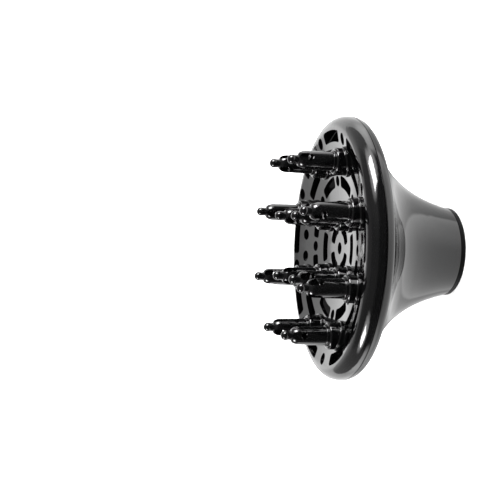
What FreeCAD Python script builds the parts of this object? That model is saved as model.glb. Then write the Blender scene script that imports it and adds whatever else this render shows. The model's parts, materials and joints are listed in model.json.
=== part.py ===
"""Finger diffuser for a hair dryer.

Millimetres. The axis of the duct is Z. The mouth that slips over the dryer's barrel is at z = 0,
centred on the origin, and the fingers point up (+Z). Each piece is written to parts/NODE.step.
"""
import FreeCAD, Part
import math
import os
from FreeCAD import Vector

# ---- driving dimensions ----------------------------------------------------------------------

# bell (rear shell)
rim_radius = 76.0           # widest part of the rim
rim_corner = 5.4            # round behind the rim
seam_z = 67.6               # where the cover rests on the shell
seam_gap = 0.45             # groove all round the seam, along the axis
seam_depth = 0.9            # groove all round the seam, into the wall
shell_wall = 2.0
neck_radius = 25.8          # outside of the neck at its end
neck_end_z = 3.1
neck_slope = 13.1           # degrees off the axis at the neck's end
flare_slope = 24.7          # degrees off the rim's plane where the flare meets the rim
flare_end_z = 61.7
neck_handle = 35.1          # how long the outline holds the neck's direction
flare_handle = 21.8         # how long it holds the flare's direction
wall_start = 0.22           # share of the flare's outline below which the wall thickens to the bore

# collar ring, free to turn in the neck
barrel_radius = 22.0        # bore that the dryer's barrel slips into
sleeve_radius = 24.0
running_gap = 0.05
flange_height = 2.75
flange_round = 0.9
sleeve_height = 20.0
sleeve_chamfer = 0.5
lead_in = 0.6               # chamfer at the mouth of the bore
bore_headroom = 0.6         # room above the sleeve before the wall starts to open
stop_radius = 20.6          # lip that the barrel stops against
stop_height = 1.6
bead_low, bead_high = 14.4, 16.6
bead_radius = 24.7
bead_chamfer = 0.5
groove_gap = 0.4            # room round the bead, along the axis
groove_radius = 25.0
slit_count = 6
slit_width = 1.4
slit_low = 7.0

# cover (front grille)
dish_z = 67.1               # front face at the centre
dish_sphere = 272.0         # radius of the hollow front face
dish_radius = 66.3          # where the rim starts to roll over
plate = 2.2                 # thickness
roll_rise = 3.7             # how far the roll holds the dish's direction
roll_drop = 6.7             # how far the roll holds the rim's direction
tongue_inner, tongue_outer = 72.2, 73.9
tongue_low, tongue_high = 65.9, 69.1
tongue_chamfer = 0.5
cut_low, cut_height = dish_z - 3 * plate, 10 * plate     # reach of the holes' cutters

# air holes: (middle radius, width, half span in degrees, first angle, count)
# the outermost ring has three groups of three slots, with a round hole in every gap
group_step = 36.7           # degrees from one slot to the next in a group
arc_slots = [
    (12.1, 6.4, 32.5, 45.0, 4),
    (24.2, 6.8, 20.0, 0.0, 4),
    (38.8, 6.8, 14.6, 22.5, 8),
    (52.6, 6.7, 10.8, 45.0, 4),
    (64.5, 6.7, 11.6, 0.0, 3),
    (64.5, 6.7, 11.6, group_step, 3),
    (64.5, 6.7, 11.6, -group_step, 3),
]
slot_corner = 1.8
# round holes: (radius from the axis, hole radius, first angle, count)
round_holes = [
    (0.0, 3.5, 0.0, 1),
    (38.8, 3.1, 0.0, 8),
    (52.6, 3.3, 7.3, 4),
    (52.6, 3.3, -7.3, 4),
    (64.5, 3.4, 60.0, 3),
    (64.5, 3.4, group_step / 2, 3),
    (64.5, 3.4, -group_step / 2, 3),
]

# sockets for the fingers
outer_ring, outer_start, outer_count = 52.6, 22.5, 8
inner_ring, inner_start, inner_count = 25.0, 45.0, 4
finger_rings = [(outer_ring, outer_start, outer_count), (inner_ring, inner_start, inner_count)]
boss_radius = 7.6
boss_height = 7.3
boss_round = 1.2
boss_foot_round = 0.4
pad_radius = 8.4            # low step round each socket's foot
pad_height = 1.2
pad_round = 0.3
land_depth = 1.3            # how far each socket stands out behind the plate
spigot_radius = 3.8

# finger, measured from the socket's top face to the tip of its nub
finger_length = 26.3
foot_radius = 5.9           # ring that rests on the socket
foot_height = 1.3
foot_round = 0.6
finger_base_radius = foot_radius - foot_round
finger_radius = 5.1
shoulder_low, shoulder_high = 10.4, 5.7     # both measured down from the tip
shoulder_neck_radius = 2.6
nub_radius = 2.7
nub_neck_radius = 2.5
nub_neck_depth = 4.7        # from the tip
finger_bore = 2.9
bore_end_depth = 12.0       # where the bore starts to close, from the tip
bore_tip_radius = 1.4
bore_tip_depth = 11.0
vent_width = 4.4
vent_top_depth, vent_bottom_depth = 5.9, 13.9
vent_inner_radius = 2.0
vent_angles = (72.0, 192.0, 312.0)          # from the outward direction
barb_radius = 4.2
barb_height = 1.2
barb_gap = 0.1
barb_taper = 0.7

close_enough = 0.01         # for picking out edges
upright_enough = 0.99       # share of an edge's direction that lies along Z

axis_z = Vector(0, 0, 1)


# ---- helpers ---------------------------------------------------------------------------------

def at(radius, height):
    """A point of a section, in the XZ plane."""
    return Vector(radius, 0, height)


def line(start, end):
    return Part.makeLine(start, end)


def arc(centre, radius, start_angle, end_angle):
    """An arc of a section, with angles in degrees from the outward direction."""
    def on_arc(angle):
        turn = math.radians(angle)
        return centre + Vector(radius * math.cos(turn), 0, radius * math.sin(turn))
    middle = on_arc((start_angle + end_angle) / 2)
    return Part.Arc(on_arc(start_angle), middle, on_arc(end_angle)).toShape()


def bezier(*poles):
    curve = Part.BezierCurve()
    curve.setPoles(list(poles))
    return curve


def offset_curve(curve, distance, start=0.0, steps=12):
    """A smooth curve beside another one, to the left of its direction in the section."""
    points = []
    for step in range(steps + 1):
        position = start + (1.0 - start) * step / steps
        tangent = curve.tangent(position)[0]
        normal = Vector(-tangent.z, 0, tangent.x)
        points.append(curve.value(position) + normal * distance)
    beside = Part.BSplineCurve()
    beside.interpolate(points)
    return beside


def outline(points):
    """Straight edges through the points, left open."""
    return [line(first, second) for first, second in zip(points, points[1:])]


def turned(edges):
    """Closes a section and turns it about the axis."""
    wire = Part.Wire(Part.__sortEdges__(edges))
    return Part.Face(wire).revolve(Vector(0, 0, 0), axis_z, 360)


def rotated(shape, angle):
    copy = shape.copy()
    copy.rotate(Vector(0, 0, 0), axis_z, angle)
    return copy


def ring_of(shape, first_angle, count):
    return [rotated(shape, first_angle + 360.0 * number / count) for number in range(count)]


def dish_height(radius, above=0.0):
    """Height at a radius of the cover's front face, or of a face that lies above it."""
    return dish_z + dish_sphere - math.sqrt((dish_sphere - above) ** 2 - radius ** 2)


# ---- rear shell ------------------------------------------------------------------------------

def make_rear_shell():
    corner_angle = flare_slope - 90.0
    corner_turn = math.radians(corner_angle)
    corner_z = flare_end_z - rim_corner * math.sin(corner_turn)
    corner = at(rim_radius - rim_corner, corner_z)
    flare_end = corner + Vector(math.cos(corner_turn), 0, math.sin(corner_turn)) * rim_corner
    neck_end = at(neck_radius, neck_end_z)
    neck_turn = math.radians(neck_slope)
    flare_turn = math.radians(flare_slope)
    neck_pole = neck_end + Vector(math.sin(neck_turn), 0, math.cos(neck_turn)) * neck_handle
    flare_pole = flare_end - Vector(math.cos(flare_turn), 0, math.sin(flare_turn)) * flare_handle
    flare = bezier(neck_end, neck_pole, flare_pole, flare_end)
    inside = offset_curve(flare, shell_wall, wall_start)
    inside_low = inside.value(inside.FirstParameter)
    neck_bore = sleeve_radius + running_gap
    bore_top = sleeve_height + bore_headroom
    outer = [
        flare.toShape(),
        arc(corner, rim_corner, corner_angle, 0.0),
    ]
    seam = outline([
        at(rim_radius, corner_z),
        at(rim_radius, seam_z - seam_gap),
        at(rim_radius - seam_depth, seam_z - seam_gap),
        at(rim_radius - seam_depth, seam_z),
        at(rim_radius - shell_wall, seam_z),
        at(rim_radius - shell_wall, corner_z),
    ])
    inner = [
        arc(corner, rim_corner - shell_wall, 0.0, corner_angle),
        inside.toShape(),
    ]
    neck = outline([
        inside_low,
        at(neck_bore, bore_top),
        at(neck_bore, bead_high + groove_gap),
        at(groove_radius, bead_high + groove_gap),
        at(groove_radius, bead_low - groove_gap),
        at(neck_bore, bead_low - groove_gap),
        at(neck_bore, neck_end_z),
        neck_end,
    ])
    return turned(outer + seam + inner + neck)


# ---- collar ring -----------------------------------------------------------------------------

def make_collar_ring():
    round_centre = at(neck_radius - flange_round, flange_round)
    base = outline([
        at(barrel_radius + lead_in, 0),
        at(neck_radius - flange_round, 0),
    ])
    edge = [arc(round_centre, flange_round, -90.0, 0.0)]
    rest = outline([
        at(neck_radius, flange_round),
        at(neck_radius, flange_height),
        at(sleeve_radius, flange_height),
        at(sleeve_radius, bead_low),
        at(bead_radius, bead_low + bead_chamfer),
        at(bead_radius, bead_high - bead_chamfer),
        at(sleeve_radius, bead_high),
        at(sleeve_radius, sleeve_height - sleeve_chamfer),
        at(sleeve_radius - sleeve_chamfer, sleeve_height),
        at(stop_radius, sleeve_height),
        at(stop_radius, sleeve_height - stop_height),
        at(barrel_radius, sleeve_height - stop_height),
        at(barrel_radius, lead_in),
        at(barrel_radius + lead_in, 0),
    ])
    ring = turned(base + edge + rest)
    slit_reach = 2 * bead_radius
    slit = Part.makeBox(
        slit_reach,
        slit_width,
        sleeve_height,
        Vector(0, -slit_width / 2, slit_low),
    )
    return ring.cut(ring_of(slit, 0.0, slit_count))


# ---- front cover -----------------------------------------------------------------------------

edge_turn = math.asin(dish_radius / dish_sphere)


def dish_point(turn, radius):
    """A point on a sphere about the dish's centre, at an angle from its lowest point."""
    return at(radius * math.sin(turn), dish_z + dish_sphere - radius * math.cos(turn))


def dish_arc(radius):
    points = [dish_point(edge_turn * share, radius) for share in (0.0, 0.5, 1.0)]
    return Part.Arc(*points).toShape()


def make_cover_blank():
    """The dished plate with its rolled rim, before its holes and sockets."""
    roll_start = dish_point(edge_turn, dish_sphere)
    roll_end = at(rim_radius, seam_z)
    roll = bezier(
        roll_start,
        roll_start + Vector(math.cos(edge_turn), 0, math.sin(edge_turn)) * roll_rise,
        roll_end + Vector(0, 0, roll_drop),
        roll_end,
    )
    under_roll = offset_curve(roll, -plate)
    under_roll_end = under_roll.value(under_roll.LastParameter)
    body = turned(
        [
            dish_arc(dish_sphere),
            roll.toShape(),
            line(roll_end, under_roll_end),
            under_roll.toShape(),
            dish_arc(dish_sphere + plate),
            line(at(0, dish_z - plate), at(0, dish_z)),
        ]
    )
    tongue = turned(outline([
        at(tongue_inner, tongue_low),
        at(tongue_outer - tongue_chamfer, tongue_low),
        at(tongue_outer, tongue_low + tongue_chamfer),
        at(tongue_outer, tongue_high),
        at(tongue_inner, tongue_high),
        at(tongue_inner, tongue_low),
    ]))
    return body.fuse(tongue)


def make_socket(ring_radius):
    """One raised socket on the X axis, without its bore."""
    face = dish_height(ring_radius)
    top = face + boss_height
    low = face - plate - land_depth
    round_centre = at(boss_radius - boss_round, top - boss_round)
    straight = outline([
        at(boss_radius - boss_round, top),
        at(0, top),
        at(0, low),
        at(boss_radius, low),
        at(boss_radius, top - boss_round),
    ])
    socket = turned([arc(round_centre, boss_round, 0.0, 90.0)] + straight)
    socket.translate(Vector(ring_radius, 0, 0))
    return socket


def make_pads():
    """Low steps round the sockets' feet, that follow the dish."""
    pad_face = dish_sphere - pad_height
    buried = dish_sphere + plate / 2
    layer = turned([
        dish_arc(pad_face),
        line(dish_point(edge_turn, pad_face), dish_point(edge_turn, buried)),
        dish_arc(buried),
        line(dish_point(0, buried), dish_point(0, pad_face)),
    ])
    pads = []
    for ring_radius, start, count in finger_rings:
        disc = Part.makeCylinder(pad_radius, cut_height, Vector(ring_radius, 0, cut_low), axis_z)
        pads += ring_of(disc, start, count)
    return [layer.common(pad) for pad in pads]


def step_edges(cover, side_radius):
    """The edges on the steps' tops at a distance from the sockets' axes."""
    found = []
    for edge in cover.Edges:
        middle = edge.valueAt((edge.FirstParameter + edge.LastParameter) / 2)
        top_error = abs(middle.z - dish_height(math.hypot(middle.x, middle.y), pad_height))
        for ring_radius, start, count in finger_rings:
            for number in range(count):
                turn = math.radians(start + 360.0 * number / count)
                across = Vector(ring_radius * math.cos(turn), ring_radius * math.sin(turn), middle.z)
                side_error = abs((middle - across).Length - side_radius)
                if max(side_error, top_error) < close_enough:
                    found.append(edge)
    return found


def make_arc_slot(radius, width, half_span):
    """A curved slot through the plate, centred on the X axis."""
    inner = radius - width / 2
    outer = radius + width / 2
    half_turn = math.radians(half_span)

    def corner(distance, turn):
        return Vector(distance * math.cos(turn), distance * math.sin(turn), cut_low)

    wire = Part.Wire([
        Part.Arc(corner(inner, -half_turn), corner(inner, 0), corner(inner, half_turn)).toShape(),
        line(corner(inner, half_turn), corner(outer, half_turn)),
        Part.Arc(corner(outer, half_turn), corner(outer, 0), corner(outer, -half_turn)).toShape(),
        line(corner(outer, -half_turn), corner(inner, -half_turn)),
    ])
    slot = Part.Face(wire).extrude(Vector(0, 0, cut_height))
    upright = []
    for edge in slot.Edges:
        if abs(edge.tangentAt(edge.FirstParameter).z) > upright_enough:
            upright.append(edge)
    return slot.makeFillet(slot_corner, upright)


def make_front_cover():
    cover = make_cover_blank()
    sockets = []
    for ring_radius, start, count in finger_rings:
        sockets += ring_of(make_socket(ring_radius), start, count)
    cover = cover.fuse(make_pads() + sockets).removeSplitter()
    cover = cover.makeFillet(boss_foot_round, step_edges(cover, boss_radius))
    cover = cover.makeFillet(pad_round, step_edges(cover, pad_radius))
    tools = []
    for radius, width, half_span, first_angle, count in arc_slots:
        tools += ring_of(make_arc_slot(radius, width, half_span), first_angle, count)
    for radius, hole_radius, first_angle, count in round_holes:
        hole = Part.makeCylinder(hole_radius, cut_height, Vector(radius, 0, cut_low), axis_z)
        tools += ring_of(hole, first_angle, count)
    for ring_radius, start, count in finger_rings:
        bore = Part.makeCylinder(spigot_radius, cut_height, Vector(ring_radius, 0, cut_low), axis_z)
        tools += ring_of(bore, start, count)
    return cover.cut(tools)


# ---- fingers ---------------------------------------------------------------------------------

def make_finger():
    """One finger on the axis, with its socket's top face at z = 0."""
    tip = finger_length
    spigot_low = -(boss_height + plate + land_depth)
    barb_top = spigot_low - barb_gap
    barb_low = barb_top - barb_height
    nub_centre = at(0, tip - nub_radius)
    neck_z = tip - nub_neck_depth
    shoulder_centre = at(shoulder_neck_radius, tip - shoulder_low)
    shoulder_width = finger_radius - shoulder_neck_radius
    shoulder = Part.Ellipse(
        shoulder_centre + Vector(0, 0, shoulder_low - shoulder_high),
        shoulder_centre + Vector(shoulder_width, 0, 0),
        shoulder_centre,
    )
    nub_join = math.degrees(math.acos(nub_neck_radius / nub_radius))
    nub_join_z = nub_centre.z - nub_radius * math.sin(math.radians(nub_join))
    section = [
        arc(nub_centre, nub_radius, 90.0, -nub_join),
        line(at(nub_neck_radius, nub_join_z), at(nub_neck_radius, neck_z)),
        line(at(nub_neck_radius, neck_z), at(shoulder_neck_radius, tip - shoulder_high)),
        Part.ArcOfEllipse(shoulder, 0.0, math.pi / 2).toShape(),
    ]
    section += outline([
        at(finger_radius, tip - shoulder_low),
        at(finger_base_radius, foot_height),
    ])
    section.append(arc(at(finger_base_radius, foot_height - foot_round), foot_round, 0.0, 90.0))
    section += outline([
        at(foot_radius, foot_height - foot_round),
        at(foot_radius, 0),
        at(spigot_radius, 0),
        at(spigot_radius, barb_top),
        at(barb_radius, barb_top),
        at(barb_radius - barb_taper, barb_low),
        at(finger_bore, barb_low),
        at(finger_bore, tip - bore_end_depth),
        at(bore_tip_radius, tip - bore_tip_depth),
        at(0, tip - bore_tip_depth),
        at(0, tip),
    ])
    body = turned(section)
    return body.cut([rotated(make_vent(), angle) for angle in vent_angles])


def make_vent():
    """The cutter of one air vent, a round-ended slot through the finger's side along +X."""
    half = vent_width / 2
    reach = 2 * finger_base_radius
    top = finger_length - vent_top_depth - half
    bottom = finger_length - vent_bottom_depth + half
    middle = Part.makeBox(reach, vent_width, top - bottom, Vector(vent_inner_radius, -half, bottom))
    ends = []
    for height in (top, bottom):
        ends.append(Part.makeCylinder(half, reach, Vector(vent_inner_radius, 0, height), Vector(1, 0, 0)))
    return middle.fuse(ends).removeSplitter()


def place_finger(finger, ring_radius, angle):
    placed = finger.copy()
    placed.translate(Vector(ring_radius, 0, dish_height(ring_radius) + boss_height))
    return rotated(placed, angle)


def make_fingers():
    finger = make_finger()
    fingers = {}
    for label, (ring_radius, start, count) in zip(("outer", "inner"), finger_rings):
        for number in range(count):
            angle = start + 360.0 * number / count
            fingers[f"finger_{label}_{number + 1}"] = place_finger(finger, ring_radius, angle)
    return fingers


# ---- write the pieces ------------------------------------------------------------------------

def main():
    pieces = {
        "rear_shell": make_rear_shell(),
        "front_cover": make_front_cover(),
        "collar_ring": make_collar_ring(),
    }
    pieces.update(make_fingers())
    os.makedirs("parts", exist_ok=True)
    for name, shape in pieces.items():
        if len(shape.Solids) != 1 or not shape.isValid():
            raise ValueError(f"{name} is not one valid solid")
        shape.Solids[0].exportStep(f"parts/{name}.step")
        print(name, round(shape.Volume), "mm3")


main()
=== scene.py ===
"""Looks of a hair dryer's finger diffuser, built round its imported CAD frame.

Metres, in the frame's own axes: the mouth of the neck stands on z = 0 and the fingers point up.
"""
import json
import math

import bpy
from mathutils import Matrix, Vector

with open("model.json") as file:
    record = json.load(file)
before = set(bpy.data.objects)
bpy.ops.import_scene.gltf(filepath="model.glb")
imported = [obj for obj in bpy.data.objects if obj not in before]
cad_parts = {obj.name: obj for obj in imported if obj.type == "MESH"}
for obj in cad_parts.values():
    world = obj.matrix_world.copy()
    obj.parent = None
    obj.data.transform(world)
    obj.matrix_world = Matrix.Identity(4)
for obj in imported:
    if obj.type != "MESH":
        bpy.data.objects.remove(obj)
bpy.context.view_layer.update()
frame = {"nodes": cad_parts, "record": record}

# ---- driving values --------------------------------------------------------------------------

white = (1.0, 1.0, 1.0, 1.0)

# moulded plastic
plastic_ior = 1.5
ripple_height = 0.0004
haze_scale = 90.0
haze_low, haze_high = 0.35, 0.75        # noise values between which the roughness rises
tint_low, tint_high = 0.3, 0.8          # noise values between which the colour lightens
tint_darker, tint_lighter = 0.8, 1.3    # times the plastic's own colour

# floor and lights
floor_size = 40.0
floor_colour = (0.9, 0.9, 0.9, 1.0)
floor_roughness = 0.9
floor_shine = 0.1
light_target = Vector((0, 0, 0.07))
light_distance = 1.2
plain_strength = 2.4                    # of the room, as anything but a reflection

# camera: angles in degrees, the azimuth from -Y towards +X; lens and sensor in millimetres
camera_aim = Vector((-0.0026, 0, 0.1204))
camera_distance = 0.5350
camera_azimuth = 1.69
camera_elevation = 12.87
camera_roll = -88.28
camera_lens = 67.85
camera_sensor = 36.0


# ---- materials -------------------------------------------------------------------------------

def new_material(name):
    material = bpy.data.materials.new(name)
    material.use_nodes = True
    material.node_tree.nodes.clear()
    return material


def add(tree, kind, **inputs):
    """A new node whose inputs have these values; a _ in an input's name stands for a space."""
    node = tree.nodes.new(kind)
    for name, value in inputs.items():
        node.inputs[name.replace("_", " ")].default_value = value
    return node


def moulded_gloss(name, colour, roughness, ripple, ripple_scale, speck, shine=0.5):
    """Gloss moulded plastic: faint flow ripple and fine haze, with no clear coat."""
    material = new_material(name)
    tree = material.node_tree
    link = tree.links.new
    place = tree.nodes.new("ShaderNodeTexCoord")
    out = tree.nodes.new("ShaderNodeOutputMaterial")
    shader = tree.nodes.new("ShaderNodeBsdfPrincipled")
    shader.inputs["IOR"].default_value = plastic_ior
    shader.inputs["Specular IOR Level"].default_value = shine
    shader.inputs["Coat Weight"].default_value = 0.0

    wide = add(tree, "ShaderNodeTexNoise", Scale=ripple_scale, Detail=2.0, Roughness=0.45)
    link(place.outputs["Object"], wide.inputs["Vector"])
    bump = add(tree, "ShaderNodeBump", Strength=ripple, Distance=ripple_height)
    link(wide.outputs["Fac"], bump.inputs["Height"])
    link(bump.outputs["Normal"], shader.inputs["Normal"])

    haze = add(tree, "ShaderNodeTexNoise", Scale=haze_scale, Detail=6.0, Roughness=0.6)
    link(place.outputs["Object"], haze.inputs["Vector"])
    spread = add(
        tree,
        "ShaderNodeMapRange",
        From_Min=haze_low,
        From_Max=haze_high,
        To_Min=roughness,
        To_Max=roughness + speck,
    )
    link(haze.outputs["Fac"], spread.inputs["Value"])
    link(spread.outputs["Result"], shader.inputs["Roughness"])

    tint = tree.nodes.new("ShaderNodeValToRGB")
    dark, light = tint.color_ramp.elements
    dark.position, light.position = tint_low, tint_high
    dark.color = (*[channel * tint_darker for channel in colour], 1.0)
    light.color = (*[channel * tint_lighter for channel in colour], 1.0)
    link(haze.outputs["Fac"], tint.inputs["Fac"])
    link(tint.outputs["Color"], shader.inputs["Base Color"])
    link(shader.outputs["BSDF"], out.inputs["Surface"])
    return material


# colour, roughness, ripple, ripple scale, how much rougher the haze is, shine
plastics = {
    "shell_black": ((0.0012, 0.0012, 0.0013), 0.06, 0.04, 60.0, 0.02),
    "cover_black": ((0.0010, 0.0010, 0.0011), 0.06, 0.03, 70.0, 0.02),
    "finger_black": ((0.0010, 0.0010, 0.0011), 0.07, 0.03, 160.0, 0.02),
    "collar_black": ((0.0008, 0.0008, 0.0009), 0.35, 0.10, 200.0, 0.08, 0.08),
}
finishes = {name: moulded_gloss(name, *values) for name, values in plastics.items()}

for entry in frame["record"]["subparts"]:
    node = frame["nodes"][entry["node"]]
    for material_slot in node.material_slots:
        material_slot.material = finishes[entry["material_slot"]]


# ---- floor and lights ------------------------------------------------------------------------

def make_floor():
    material = new_material("studio_floor")
    tree = material.node_tree
    shader = add(
        tree,
        "ShaderNodeBsdfPrincipled",
        Base_Color=floor_colour,
        Roughness=floor_roughness,
        Specular_IOR_Level=floor_shine,
    )
    out = tree.nodes.new("ShaderNodeOutputMaterial")
    tree.links.new(shader.outputs["BSDF"], out.inputs["Surface"])
    bpy.ops.mesh.primitive_plane_add(size=floor_size, location=(0, 0, 0))
    floor = bpy.context.object
    floor.name = "floor"
    floor.data.materials.append(material)
    floor.visible_glossy = False


def facing(azimuth, elevation):
    """A direction from the object, in degrees; its azimuth runs from +X towards -Y."""
    turn = math.radians(azimuth)
    rise = math.radians(elevation)
    return Vector((
        math.cos(turn) * math.cos(rise),
        -math.sin(turn) * math.cos(rise),
        math.sin(rise),
    ))


def softbox(name, azimuth, elevation, size, power):
    """A rectangular light that faces the object."""
    direction = facing(azimuth, elevation)
    data = bpy.data.lights.new(name, "AREA")
    data.shape = "RECTANGLE"
    data.size, data.size_y = size
    data.energy = power
    light = bpy.data.objects.new(name, data)
    light.location = light_target + direction * light_distance
    light.rotation_euler = (-direction).to_track_quat("-Z", "Y").to_euler()
    light.visible_camera = False
    bpy.context.scene.collection.objects.link(light)


def make_world():
    """A white room that the gloss mirrors: bright behind and below, unlit at the camera's side.

    Every coordinate is a component of the direction from the object, between -1 and 1. Every
    level is the strength of the room there.
    """
    world = bpy.data.worlds.new("studio")
    bpy.context.scene.world = world
    world.use_nodes = True
    tree = world.node_tree
    tree.nodes.clear()
    link = tree.links.new
    place = tree.nodes.new("ShaderNodeTexCoord")
    split = tree.nodes.new("ShaderNodeSeparateXYZ")
    link(place.outputs["Generated"], split.inputs["Vector"])
    x, y, z = (split.outputs[axis] for axis in "XYZ")

    def ramp(source, start, end, first, last):
        """A value that changes smoothly from the first to the last along the source."""
        node = add(
            tree,
            "ShaderNodeMapRange",
            From_Min=start,
            From_Max=end,
            To_Min=first,
            To_Max=last,
        )
        node.interpolation_type = "SMOOTHSTEP"
        link(source, node.inputs["Value"])
        return node.outputs["Result"]

    def combine(operation, first, *others):
        """The operation carried out on a value and each of the others, one after the other."""
        total = first
        for other in others:
            node = tree.nodes.new("ShaderNodeMath")
            node.operation = operation
            link(total, node.inputs[0])
            if isinstance(other, float):
                node.inputs[1].default_value = other
            else:
                link(other, node.inputs[1])
            total = node.outputs["Value"]
        return total

    def patch(azimuth, elevation, core, edge, level, outside=0.0):
        """A round soft patch: its level inside the core, another past the edge, in degrees."""
        toward = tree.nodes.new("ShaderNodeVectorMath")
        toward.operation = "DOT_PRODUCT"
        toward.inputs[1].default_value = facing(azimuth, elevation)
        link(place.outputs["Generated"], toward.inputs[0])
        outer = math.cos(math.radians(edge))
        inner = math.cos(math.radians(core))
        return ramp(toward.outputs["Value"], outer, inner, outside, level)

    sideways = combine("MAXIMUM", x, combine("MULTIPLY", x, -1.0))

    # behind the object: a bright band under a curved upper edge, dimmer above it
    bend = combine("MULTIPLY", x, x, 0.40)
    slope = combine("MULTIPLY", x, -0.11)
    band_height = combine("ADD", z, bend, slope)
    band_level = combine(
        "MAXIMUM",
        ramp(sideways, 0.20, 0.34, 2.15, 1.6),
        ramp(x, 0.70, 0.95, 1.6, 3.8),
        ramp(x, -0.75, -0.95, 1.6, 3.2),
    )
    band = combine(
        "MULTIPLY",
        combine("MINIMUM", band_level, ramp(z, -0.45, -0.10, 0.88, 4.0)),
        ramp(band_height, 0.40, 0.45, 1.0, 0.0),
    )
    upper = combine("MINIMUM", ramp(x, -0.50, -0.15, 0.42, 1.1), ramp(x, 0.20, 0.60, 1.1, 0.65))
    upper = combine("MULTIPLY", upper, ramp(z, 0.60, 0.76, 1.0, 0.28))
    rear = combine("MULTIPLY", combine("MAXIMUM", upper, band), ramp(y, -0.15, 0.10, 0.03, 1.0))

    # below the object: a pale surface, brighter out to both sides, in shade behind
    drop = combine("ADD", z, combine("MULTIPLY", sideways, -0.17))
    surface = combine(
        "ADD",
        ramp(x, 0.0, 0.5, 1.53, 2.1),
        ramp(x, 0.78, 0.95, 0.0, 1.2),
        ramp(x, -0.74, -0.92, 0.0, 1.5),
    )
    behind = combine("ADD", y, combine("MULTIPLY", combine("MAXIMUM", x, 0.0), 0.55))
    shade = ramp(behind, 0.52, 0.60, 1.0, 0.46)
    below = combine("MULTIPLY", surface, shade, ramp(drop, -0.42, -0.52, 0.04, 1.0))

    # above the object: a dim ceiling with a soft glow near each softbox
    above = combine("MULTIPLY", ramp(z, 0.25, 0.65, 0.02, 0.22), ramp(x, 0.10, 0.50, 1.0, 1.7))
    top_glow = combine("MAXIMUM", patch(12, 12, 8, 24, 4.5), patch(14, 32, 12, 28, 4.5))
    bottom_glow = patch(173, 32, 9, 22, 4.5)
    room = combine("MAXIMUM", rear, above, below, top_glow, bottom_glow)

    # a darker patch low behind the object, which the gloss mirrors along its outline
    dark_patch = patch(-91.7, -12.9, 8, 23, 0.15, 1.0)
    room = combine("MULTIPLY", room, dark_patch)

    mirrored = add(tree, "ShaderNodeBackground", Color=white)
    link(room, mirrored.inputs["Strength"])
    plain = add(tree, "ShaderNodeBackground", Color=white, Strength=plain_strength)
    path = tree.nodes.new("ShaderNodeLightPath")
    mix = tree.nodes.new("ShaderNodeMixShader")
    link(path.outputs["Is Glossy Ray"], mix.inputs["Fac"])
    link(plain.outputs["Background"], mix.inputs[1])
    link(mirrored.outputs["Background"], mix.inputs[2])
    out = tree.nodes.new("ShaderNodeOutputWorld")
    link(mix.outputs["Shader"], out.inputs["Surface"])


# ---- camera ----------------------------------------------------------------------------------

def make_camera():
    azimuth = math.radians(camera_azimuth)
    elevation = math.radians(camera_elevation)
    back = Vector((
        math.sin(azimuth) * math.cos(elevation),
        -math.cos(azimuth) * math.cos(elevation),
        math.sin(elevation),
    ))
    place = Matrix.Translation(camera_aim + back * camera_distance)
    upright = (-back).to_track_quat("-Z", "Y").to_matrix().to_4x4()
    roll = Matrix.Rotation(math.radians(camera_roll), 4, "Z")
    data = bpy.data.cameras.new("camera")
    data.lens = camera_lens
    data.sensor_width = camera_sensor
    camera = bpy.data.objects.new("camera", data)
    camera.matrix_world = place @ upright @ roll
    bpy.context.scene.collection.objects.link(camera)
    bpy.context.scene.camera = camera


make_floor()
make_world()
softbox("top_box", 20.0, 24.0, (0.58, 0.58), 27.0)
softbox("bottom_box", 173.0, 31.0, (0.32, 0.36), 9.0)
make_camera()

view = bpy.context.scene.view_settings
view.view_transform = "Standard"
view.look = "None"
